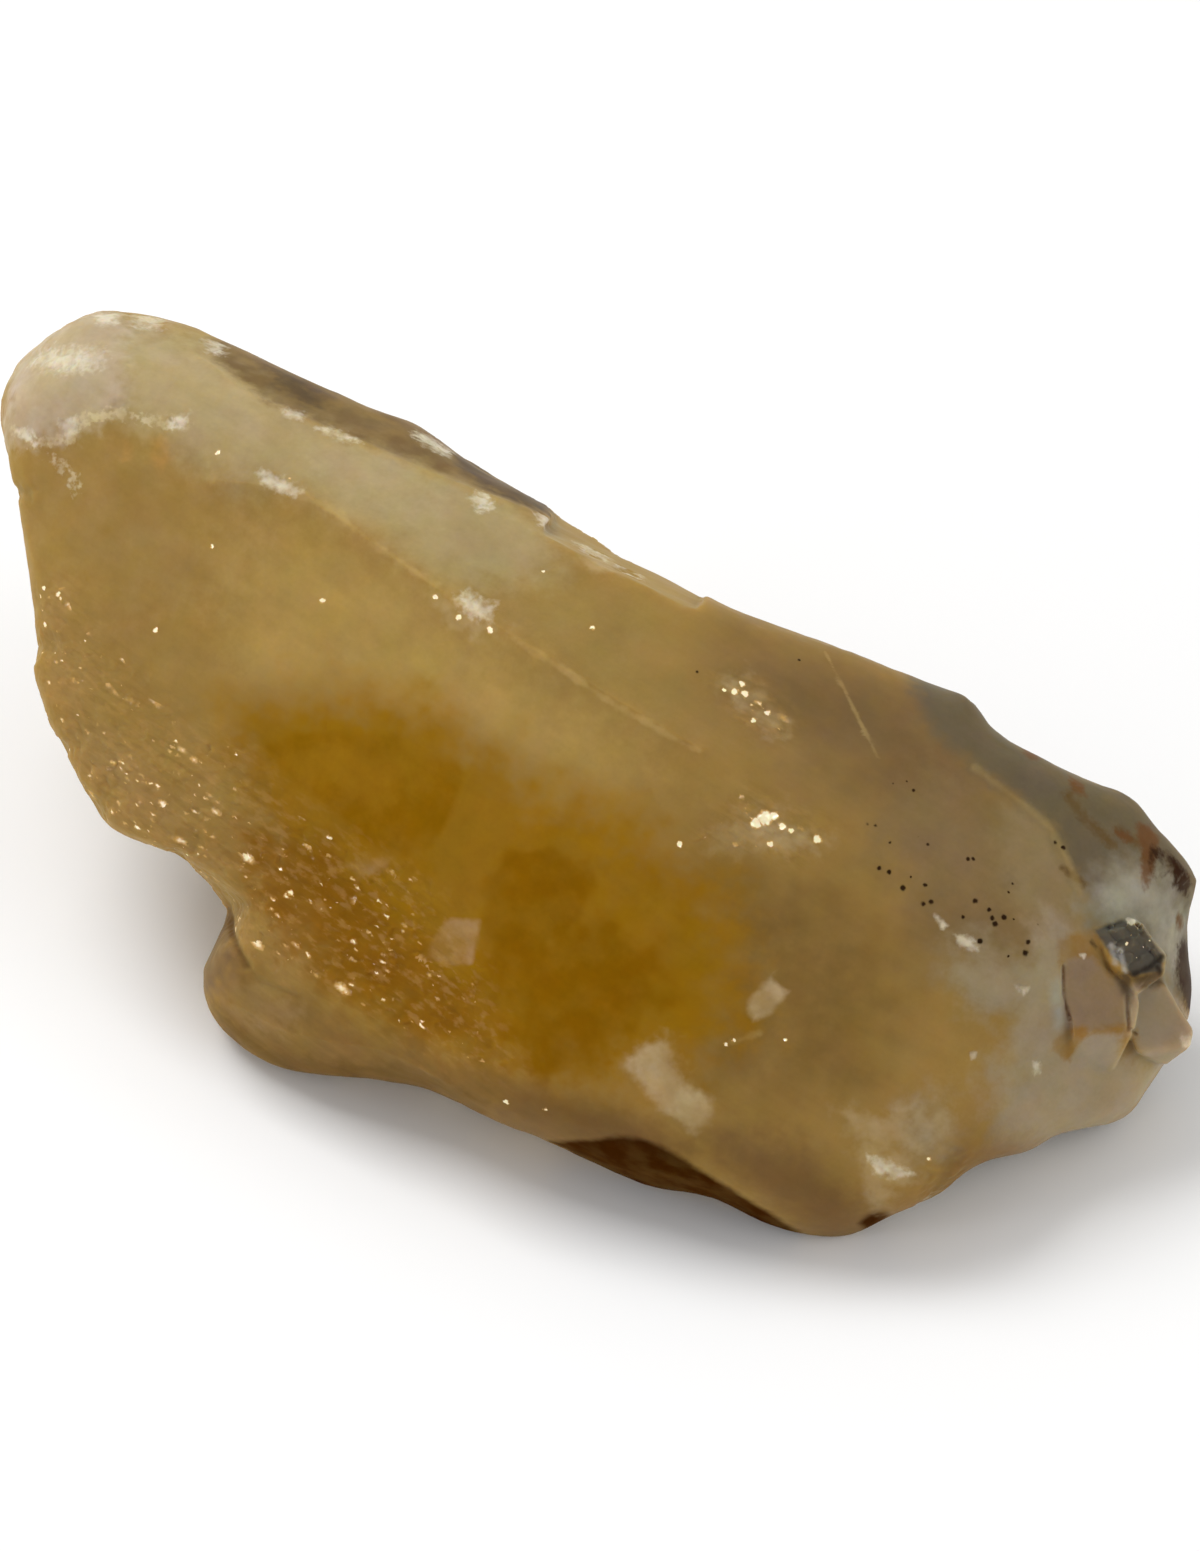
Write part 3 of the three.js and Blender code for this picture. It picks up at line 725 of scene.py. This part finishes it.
def relaxed(mesh, rounds):
    """The mesh's points, each moved toward the middle of its neighbours."""
    points = vertex_array(mesh)
    edges = np.empty(len(mesh.edges) * 2, np.int32)
    mesh.edges.foreach_get("vertices", edges)
    a, b = edges.reshape(-1, 2).T
    count = np.bincount(a, minlength=len(points)) + np.bincount(b, minlength=len(points))
    for _ in range(rounds):
        for axis in range(3):
            values = points[:, axis]
            near = np.bincount(a, values[b], len(points)) + np.bincount(b, values[a], len(points))
            points[:, axis] = (values + near / count) / 2
    return points


def cleavage_steps(places, size, seed):
    """Small flat steps, tilted each its own way, in mm."""
    offset, own = nearest_cells(places / size, seed)
    tilt = own - 0.5
    return (offset * size * tilt).sum(1) + STEP_DROP * size.min() * tilt[:, 0]


def scoops(places, size, seed):
    """Shallow dents that meet in low ridges, from 0 in a dent to about 1 on a ridge."""
    offset, _ = nearest_cells(places / size, seed)
    return (offset**2).sum(1)


def relief_masks(points, depths):
    """How far each point lies in each zone with relief, from 0 to 1, and how near it is to fine detail."""
    shake = lumps(in_axes(points), EDGE_SHAKE)
    fields = zone_fields(points, depths, (*FULL_DETAIL, "frost"))
    masks = {name: smoothstep(-1, 1, field + shake) for name, field in fields.items()}
    for name in {*masks} - BOTH_SIDES:
        masks[name] *= 1 - smoothstep(*WRAP, depths)
    return masks, np.max([fields[name] for name in FULL_DETAIL], axis=0)


def back_relief(places, normals, unseen):
    """The dents and lumps of the unseen sides, which only dig in, and less so near the outline."""
    rough = lumps(places, BACK_LUMPS) + SCOOP_DEPTH * scoops(places, SCOOP_SIZE, SCOOP_SEED)
    rough += SMALL_SCOOP_DEPTH * scoops(places, SMALL_SCOOP_SIZE, SMALL_SCOOP_SEED)
    away = smoothstep(*TURNED_BACK, -normals @ np.array(BACK))
    away = EDGE_ON_RELIEF + (1 - EDGE_ON_RELIEF) * away
    return unseen * away * np.minimum(rough - SCOOP_RIM, 0)


def relief(points, normals):
    """How far each point of the fine surface lies above the rounded one, in mm, and how fine it is there."""
    places = in_axes(points)
    depths = behind(points)
    unseen = smoothstep(*UNSEEN_FROM, depths)
    masks, detail = relief_masks(points, depths + turned_away(normals))
    height = lumps(places, LUMPS)
    broken = masks["sparkle"] > TRACE
    steps = cleavage_steps(places[broken], STEP_SIZE, STEP_SEED)
    height[broken] += STEP_SHARE * masks["sparkle"][broken] * steps
    for corners, rise, width in RIDGES:
        ridge = rise * np.exp(-line_distance(places[:, :2], flat_on_stone(corners)) / width)
        height += ridge * (1 - unseen)
    height += FROST_RISE * masks["frost"] - CRACK_DEPTH * masks["crack"] - DENT_DEPTH * masks["dent"]
    blocky = masks["inclusion"] > TRACE
    blocks = cleavage_steps(places[blocky], STEP_SIZE, BLOCK_SEED)
    height[blocky] += BLOCK_SHARE * masks["inclusion"][blocky] * blocks
    height -= masks["chip"] * (CHIP_DEPTH + lumps(places, CHIP_LUMPS))
    back = unseen > TRACE
    height[back] += back_relief(places[back], normals[back], unseen[back])
    detail[unseen > 0.5] = -FIELD_REACH
    return height * smoothstep(*RESTING_FACE, points[:, 2] / MM), detail


def thinned(mesh, detail):
    """The mesh with fewer triangles where there is no small detail."""
    triangles = sum(len(p.vertices) - 2 for p in mesh.polygons)
    stone = object_from(mesh, "thinned")
    if triangles > MOST_TRIANGLES:
        group = stone.vertex_groups.new(name="plain")
        for weight in (0.0, 1.0):
            chosen = np.flatnonzero((detail < PLAIN_FROM) == (weight > 0))
            group.add(chosen.tolist(), weight, "REPLACE")
        thin = stone.modifiers.new("thin", "DECIMATE")
        thin.ratio = MOST_TRIANGLES / triangles
        thin.vertex_group = group.name
        thin.vertex_group_factor = DETAIL_HOLD
    return applied(stone)


def fine_stone():
    """The stone's fine mesh."""
    base = rounded_base()
    points = relaxed(base, SMOOTH_ROUNDS)
    base.vertices.foreach_set("co", points.astype(np.float32).ravel())
    base.update()
    normals = normal_array(base)
    height, detail = relief(points, normals)
    points += normals * (height * MM)[:, None]
    points[:, 2] = np.maximum(points[:, 2], 0)
    base.vertices.foreach_set("co", points.astype(np.float32).ravel())
    base.update()
    mesh = thinned(base, detail)
    mesh.shade_smooth()
    mesh.set_sharp_from_angle(angle=SHARP_ANGLE)
    mesh.name = "honey_calcite"
    return mesh


def add_float(mesh, name, values):
    mesh.attributes.new(name, "FLOAT", "POINT").data.foreach_set("value", values.astype(np.float32))


def add_vector(mesh, name, values):
    data = mesh.attributes.new(name, "FLOAT_VECTOR", "POINT").data
    data.foreach_set("vector", values.astype(np.float32).ravel())


def painted(mesh):
    """Gives the mesh's points the zones that they are in and their place in the photograph's axes."""
    points = vertex_array(mesh)
    depths = behind(points) + turned_away(normal_array(mesh))
    fields = zone_fields(points, depths, {**ZONES, **LINES, **UNSEEN})
    for name, field in fields.items():
        add_float(mesh, name, field)
    add_float(mesh, "behind", depths)
    add_vector(mesh, "place", in_axes(points))
    return mesh


def linear(red, green, blue):
    """A colour given as the 0 to 255 of a picture, in the linear values that a shader takes."""
    share = [c / 255 for c in (red, green, blue)]
    return tuple(c / 12.92 if c <= 0.04045 else ((c + 0.055) / 1.055) ** 2.4 for c in share) + (1.0,)


BODY = linear(152, 122, 66)
LAYERS = [  # zone, its colour, its strength, how ragged its edge is and how far clouds break it up
    ("straw", linear(149, 123, 69), 1.0, 0.3, 0.1),
    ("tan", linear(165, 146, 103), 1.0, 0.4, 0.1),
    # partly painted sheen on the upper face, partly a lighter tip
    ("pale", linear(172, 154, 114), 0.9, 0.6, 0.3),
    ("gold", linear(169, 140, 79), 1.0, 0.3, 0.2),
    # painted shade on the right
    ("dusk", linear(118, 94, 61), 1.0, 0.2, 0.1),
    ("rosy", linear(127, 105, 70), 1.0, 0.3, 0.1),
    ("beige", linear(140, 120, 86), 0.9, 0.4, 0.2),
    ("wood", linear(126, 98, 50), 0.9, 0.4, 0.3),
    ("amber", linear(144, 104, 14), 1.0, 0.5, 0.1),
    ("honey", linear(135, 93, 3), 1.0, 0.7, 0.45),
    ("glow", linear(147, 107, 20), 0.9, 0.8, 0.4),
    ("wedge", linear(144, 105, 24), 0.9, 0.6, 0.4),
    ("syrup", linear(130, 88, 3), 1.0, 0.9, 0.4),
    ("rim", linear(152, 122, 72), 0.9, 0.4, 0.2),
    ("bronze", linear(128, 85, 16), 0.9, 0.5, 0.2),
    ("milk", linear(154, 139, 112), 0.95, 0.6, 0.2),
    # painted shade along the lower edges
    ("low", linear(108, 80, 47), 0.85, 0.3, 0.1),
    ("lobe", linear(130, 100, 52), 0.9, 0.6, 0.4),
    ("pith", linear(148, 120, 76), 0.8, 1.0, 0.5),
    # painted shade at the lobe's lower edge
    ("hem", linear(98, 72, 28), 0.8, 0.8, 0.4),
    ("smudge", linear(170, 142, 92), 0.22, 1.0, 0.95),
    # painted shadow under the overhang
    ("foot", linear(112, 90, 62), 0.9, 0.5, 0.2),
    ("grime", linear(120, 98, 62), 0.55, 0.8, 0.4),
    ("butt", linear(112, 100, 76), 0.95, 0.9, 0.2),
    ("bruise", linear(180, 162, 122), 0.65, 0.9, 0.5),
    ("frost", linear(180, 163, 136), 0.9, 0.8, 0.3),
    # painted shade of the top strip
    ("smoke", linear(110, 88, 56), 0.95, 0.8, 0.3),
    ("slate", linear(82, 68, 51), 0.9, 0.7, 0.25),
    # painted shade of the underside strip
    ("umber", linear(52, 24, 2), 1.0, 0.3, 0.1),
    # painted shade of the end face
    ("end", linear(101, 90, 69), 1.0, 0.5, 0.1),
    ("bright", linear(156, 150, 131), 1.0, 0.3, 0.1),
    ("rhomb", linear(138, 116, 90), 1.0, 0.3, 0.2),
    ("fair", linear(154, 138, 115), 0.95, 0.3, 0.2),
    ("inclusion", linear(82, 77, 68), 1.0, 0.4, 0.1),
    # painted shade in the hollows
    ("sunk", linear(80, 64, 44), 0.9, 0.6, 0.2),
    ("ochre", linear(142, 107, 54), 0.95, 0.45, 0.4),
    ("stain", linear(96, 74, 40), 0.9, 0.7, 0.3),
    ("rust", linear(102, 70, 40), 1.0, 0.6, 0.25),
    ("bark", linear(52, 32, 18), 1.0, 0.7, 0.15),
    ("blush", linear(166, 132, 88), 0.8, 0.6, 0.7),
    ("patch", linear(180, 157, 120), 0.95, 0.6, 0.5),
    ("veil", linear(178, 156, 114), 0.6, 0.9, 0.5),
    ("fleck", linear(184, 136, 74), 0.5, 0.8, 0.3),
    # painted highlights along the ridges
    ("edge", linear(190, 164, 104), 0.35, 1.0, 0.6),
    # white beads, partly painted highlight
    ("bead", linear(204, 188, 152), 0.7, 2.2, 0.6),
    ("crack", linear(92, 62, 32), 0.7, 0.6, 0.4),
    # painted glints on the inclusion
    ("gleam", linear(176, 172, 164), 0.8, 0.8, 0.4),
    ("ink", linear(42, 34, 28), 0.9, 0.5, 0.2),
    # white chips, with two painted glints among them
    ("chip", linear(216, 206, 182), 0.85, 0.8, 0.5),
]
SCRATCHY = {"chip", "bead", "rust", "bark", "stain", "ochre"}  # marks with a fine broken edge
FIBRES = [  # colour, strength, and size in mm along the streaks, across them and inward
    (linear(104, 70, 26), 0.16, (4.0, 0.8, 1.5)),
    (linear(176, 138, 82), 0.32, (2.0, 0.9, 1.3)),
]
SPECK_COLOUR = linear(44, 28, 14)
# The colours of the painted glints: a cream core and a gold halo
GLINT_CORE_PAINT = linear(250, 236, 198)
GLINT_HALO_PAINT = linear(214, 170, 96)


class Nodes:
    """A short way to write a material's nodes."""

    def __init__(self, tree):
        self.tree = tree

    def add(self, kind, settings=None, **inputs):
        node = self.tree.nodes.new(kind)
        for name, value in (settings or {}).items():
            setattr(node, name, value)
        for name, value in inputs.items():
            self.put(node.inputs[name.replace("_", " ")], value)
        return node

    def put(self, socket, value):
        if isinstance(value, bpy.types.NodeSocket):
            self.tree.links.new(value, socket)
        else:
            socket.default_value = value

    def math(self, operation, a, b=0.0, c=0.0):
        node = self.add("ShaderNodeMath", {"operation": operation})
        for socket, value in zip(node.inputs, (a, b, c)):
            self.put(socket, value)
        return node.outputs[0]

    def vector(self, operation, a, b=(0, 0, 0)):
        node = self.add("ShaderNodeVectorMath", {"operation": operation})
        self.put(node.inputs[0], a)
        self.put(node.inputs[1], b)
        return node.outputs[0]

    def scaled(self, vector, amount):
        node = self.add("ShaderNodeVectorMath", {"operation": "SCALE"})
        self.put(node.inputs[0], vector)
        self.put(node.inputs["Scale"], amount)
        return node.outputs[0]

    def attribute(self, name, output="Fac"):
        return self.add("ShaderNodeAttribute", {"attribute_name": name}).outputs[output]

    def noise(self, place, size, detail, output="Fac"):
        node = self.add("ShaderNodeTexNoise", Vector=place, Scale=1 / size, Detail=detail)
        return node.outputs[output]

    def waver(self, place, size, detail=4.0):
        """Noise from about -1 to 1."""
        return self.math("MULTIPLY_ADD", self.noise(place, size, detail), 4.0, -2.0)

    def along_streaks(self, place, size):
        """The place counted in cells of a size in mm: along the cleavage streaks, across them and inward."""
        kind = {"vector_type": "TEXTURE"}
        turn = (0, 0, STREAK_TURN)
        return self.add("ShaderNodeMapping", kind, Vector=place, Rotation=turn, Scale=size).outputs[0]

    def ramp(self, value, low, high):
        settings = {"interpolation_type": "SMOOTHSTEP"}
        return self.add("ShaderNodeMapRange", settings, Value=value, From_Min=low, From_Max=high).outputs[0]

    def zone(self, name):
        """How far a place lies in a zone, from 0 to 1."""
        return self.ramp(self.attribute(name), -1.0, 1.0)

    def mix(self, share, a, b):
        node = self.add("ShaderNodeMix", {"data_type": "RGBA"})
        self.put(node.inputs["Factor"], share)
        self.put(node.inputs[6], a)
        self.put(node.inputs[7], b)
        return node.outputs[2]


def layered_colour(nodes, place):
    """The body colour with each zone laid over it."""
    colour = BODY
    broad = nodes.waver(place, BROAD_SHAKE)
    fine = nodes.waver(place, FINE_SHAKE, 3.0)
    tiny = nodes.waver(place, TINY_SHAKE, 4.0)
    puffs = nodes.ramp(nodes.noise(place, PUFF_SIZE, 5.0), *PUFF_EDGE)
    both = nodes.math("MULTIPLY_ADD", fine, FINE_SHARE, broad)
    depth = nodes.math("MULTIPLY_ADD", broad, FADE_SHAKE, nodes.attribute("behind"))
    hidden = nodes.ramp(depth, *FADE)
    seen = nodes.math("SUBTRACT", 1.0, hidden)
    for name, tint, strength, ragged, cloud in LAYERS:
        shake = both if name in THROUGH else tiny if name in SCRATCHY else fine
        share = nodes.ramp(nodes.math("MULTIPLY_ADD", shake, ragged, nodes.attribute(name)), -1.0, 1.0)
        if name not in THROUGH | BOTH_SIDES:
            share = nodes.math("MULTIPLY", share, hidden if name in UNSEEN else seen)
        thinness = nodes.math("MULTIPLY_ADD", puffs, cloud * strength, (1 - cloud) * strength)
        colour = nodes.mix(nodes.math("MULTIPLY", share, thinness), colour, tint)
    return colour


def clouded(nodes, place, colour):
    """The colour made lighter and darker by clouds in the body and by faint streaks along the cleavage."""
    value = 1.0
    for size, detail, strength in CLOUDS:
        value = nodes.math("MULTIPLY_ADD", nodes.waver(place, size, detail), strength, value)
    lined = nodes.math("MULTIPLY_ADD", nodes.zone("lobe"), LOBE_STREAKS, STREAKS)
    lined = nodes.math("MULTIPLY_ADD", nodes.zone("sparkle"), SPARKLE_STREAKS, lined)
    streaks = nodes.waver(nodes.along_streaks(place, STREAK_SIZE), 1.0)
    value = nodes.math("MULTIPLY_ADD", streaks, lined, value)
    hue = nodes.vector("SUBTRACT", nodes.noise(place, HUE_SIZE, 4.0, "Color"), MIDDLE)
    hue = nodes.vector("ADD", nodes.vector("MULTIPLY", hue, HUE_STRENGTH), (1.0, 1.0, 1.0))
    return nodes.scaled(nodes.vector("MULTIPLY", colour, hue), value)


def fibrous(nodes, place, colour):
    """The colour with the pale and dark fibres of the broken zones."""
    broken = nodes.zone("sparkle")
    for tint, strength, size in FIBRES:
        fibre = nodes.ramp(nodes.noise(nodes.along_streaks(place, size), 1.0, 5.0), *FIBRE_EDGE)
        share = nodes.math("MULTIPLY", nodes.math("MULTIPLY", fibre, broken), strength)
        colour = nodes.mix(share, colour, tint)
    return colour


def shaken(nodes, place, size, amount):
    """The place moved a little, so that dots and facets get uneven outlines."""
    away = nodes.vector("SUBTRACT", nodes.noise(place, size, 1.0, "Color"), MIDDLE)
    return nodes.vector("ADD", place, nodes.scaled(away, amount))


def dotted(nodes, place, dots):
    """How far a place lies in one of the dots, from 0 to 1."""
    nearest = FIELD_REACH
    for x, y, radius in dots:
        away = nodes.add("ShaderNodeVectorMath", {"operation": "DISTANCE"})
        nodes.put(away.inputs[0], place)
        nodes.put(away.inputs[1], tuple(on_stone(x, y)))
        nearest = nodes.math("MINIMUM", nearest, nodes.math("MULTIPLY", away.outputs["Value"], 1 / radius))
    return nodes.ramp(nearest, *DOT_EDGE)


def glints(nodes, place, size, share):
    """How far a place lies on one of the small facets of the sparkling zones, from 0 to 1."""
    cells = nodes.add("ShaderNodeTexVoronoi", Vector=nodes.along_streaks(place, size), Scale=1.0)
    own = nodes.add("ShaderNodeSeparateXYZ", Vector=cells.outputs["Color"])
    bunch = nodes.ramp(nodes.noise(place, GLINT_BUNCHES, 3.0), *BUNCH_EDGE)
    chance = nodes.math("MULTIPLY", nodes.math("MULTIPLY", own.outputs[0], nodes.zone("sparkle")), bunch)
    chosen = nodes.ramp(chance, 1 - share, 1 - share + FACET_ONSET)
    large = nodes.math("POWER", own.outputs[1], 2.0)
    radius = nodes.math("MULTIPLY_ADD", large, FACET_SPREAD, FACET_LEAST)
    inside = nodes.ramp(nodes.math("DIVIDE", cells.outputs["Distance"], radius), *FACET_EDGE)
    strength = nodes.math("MULTIPLY_ADD", own.outputs[2], 1 - FACET_DIMMEST, FACET_DIMMEST)
    return nodes.math("MULTIPLY", nodes.math("MULTIPLY", chosen, inside), strength)


def facet_normal(nodes, place):
    """The way each facet looks: near the way that shows the side light to the photograph's viewer."""
    shake = nodes.vector("SUBTRACT", nodes.noise(place, FACET_TWIST, 0.0, "Color"), MIDDLE)
    normal = nodes.add("ShaderNodeNewGeometry").outputs["Normal"]
    aim = nodes.vector("ADD", nodes.scaled(normal, 1 - AIM_SHARE), tuple(GLINT_AIM * AIM_SHARE))
    return nodes.vector("NORMALIZE", nodes.vector("ADD", aim, nodes.scaled(shake, GLINT_SHAKE)))


def sparkling(nodes, place, colour):
    """The colour with painted glints, a gold halo and a cream core, and dark specks, and how far a place
    lies on a glint.
    """
    loose = shaken(nodes, place, DOT_SHAKE, SPARK_UNEVENNESS)
    glint = dotted(nodes, loose, SPARKS)
    for size, share in GLINT_SETS:
        glint = nodes.math("MAXIMUM", glint, glints(nodes, loose, size, share))
    halo = nodes.math("MULTIPLY", nodes.ramp(glint, *HALO_EDGE), HALO_STRENGTH)
    colour = nodes.mix(halo, colour, GLINT_HALO_PAINT)
    colour = nodes.mix(nodes.ramp(glint, *CORE_EDGE), colour, GLINT_CORE_PAINT)
    specks = dotted(nodes, shaken(nodes, place, DOT_SHAKE, SPECK_UNEVENNESS), SPECKS)
    return nodes.mix(specks, colour, SPECK_COLOUR), glint


def stone_material():
    material = bpy.data.materials.new("honey_calcite")
    material.use_nodes = True
    tree = material.node_tree
    tree.nodes.clear()
    nodes = Nodes(tree)
    place = nodes.attribute("place", "Vector")
    body = clouded(nodes, place, fibrous(nodes, place, layered_colour(nodes, place)))
    colour, glint = sparkling(nodes, place, body)
    shader = nodes.add("ShaderNodeBsdfPrincipled")
    for name, value in SURFACE.items():
        nodes.put(shader.inputs[name], value)
    nodes.put(shader.inputs["Base Color"], colour)
    # less sheen where the underside strip carries painted shade
    sheen = nodes.math("MULTIPLY_ADD", nodes.zone("umber"), -UNDERSIDE_SHADE_IOR_DROP, STONE_IOR)
    nodes.put(shader.inputs["IOR"], sheen)
    nodes.put(shader.inputs["Coat Weight"], glint)
    nodes.put(shader.inputs["Coat Normal"], facet_normal(nodes, place))
    output = nodes.add("ShaderNodeOutputMaterial")
    tree.links.new(shader.outputs[0], output.inputs[0])
    return material


def floor():
    mesh = bpy.data.meshes.new("floor")
    corners = [(x * FLOOR_REACH, y * FLOOR_REACH, 0) for x, y in ((-1, -1), (1, -1), (1, 1), (-1, 1))]
    mesh.from_pydata(corners, [], [(0, 1, 2, 3)])
    made = object_from(mesh, "floor")
    material = bpy.data.materials.new("pale_floor")
    material.use_nodes = True
    shader = material.node_tree.nodes["Principled BSDF"]
    shader.inputs["Base Color"].default_value = FLOOR_COLOUR
    shader.inputs["Roughness"].default_value = FLOOR_ROUGHNESS
    mesh.materials.append(material)


def camera():
    data = bpy.data.cameras.new("camera")
    data.lens = LENS
    data.sensor_width = SENSOR
    made = object_from(data, "camera")
    made.location = EYE
    made.rotation_mode = "QUATERNION"
    made.rotation_quaternion = (-BACK).to_track_quat("-Z", "Y")
    bpy.context.scene.camera = made


def soft_light(name, direction, distance, size, power):
    """A square light, aimed at the stone from a direction given as right, up and toward the viewer."""
    data = bpy.data.lights.new(name, "AREA")
    data.size = size
    data.energy = power
    made = object_from(data, name)
    toward = (RIGHT * direction[0] + UP * direction[1] + BACK * direction[2]).normalized()
    made.location = CAMERA_TARGET + toward * distance
    made.rotation_mode = "QUATERNION"
    made.rotation_quaternion = (-toward).to_track_quat("-Z", "Y")


def surroundings():
    world = bpy.data.worlds.new("studio")
    world.use_nodes = True
    background = world.node_tree.nodes["Background"]
    background.inputs["Color"].default_value = SKY_COLOUR
    background.inputs["Strength"].default_value = SKY_STRENGTH
    bpy.context.scene.world = world
    bpy.context.scene.view_settings.view_transform = "Standard"


camera()
floor()
surroundings()
for light in LIGHTS:
    soft_light(*light)

stone = object_from(painted(fine_stone()), "honey_calcite")
stone.data.materials.clear()
stone.data.materials.append(stone_material())
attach(stone, "root")
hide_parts(NODE)
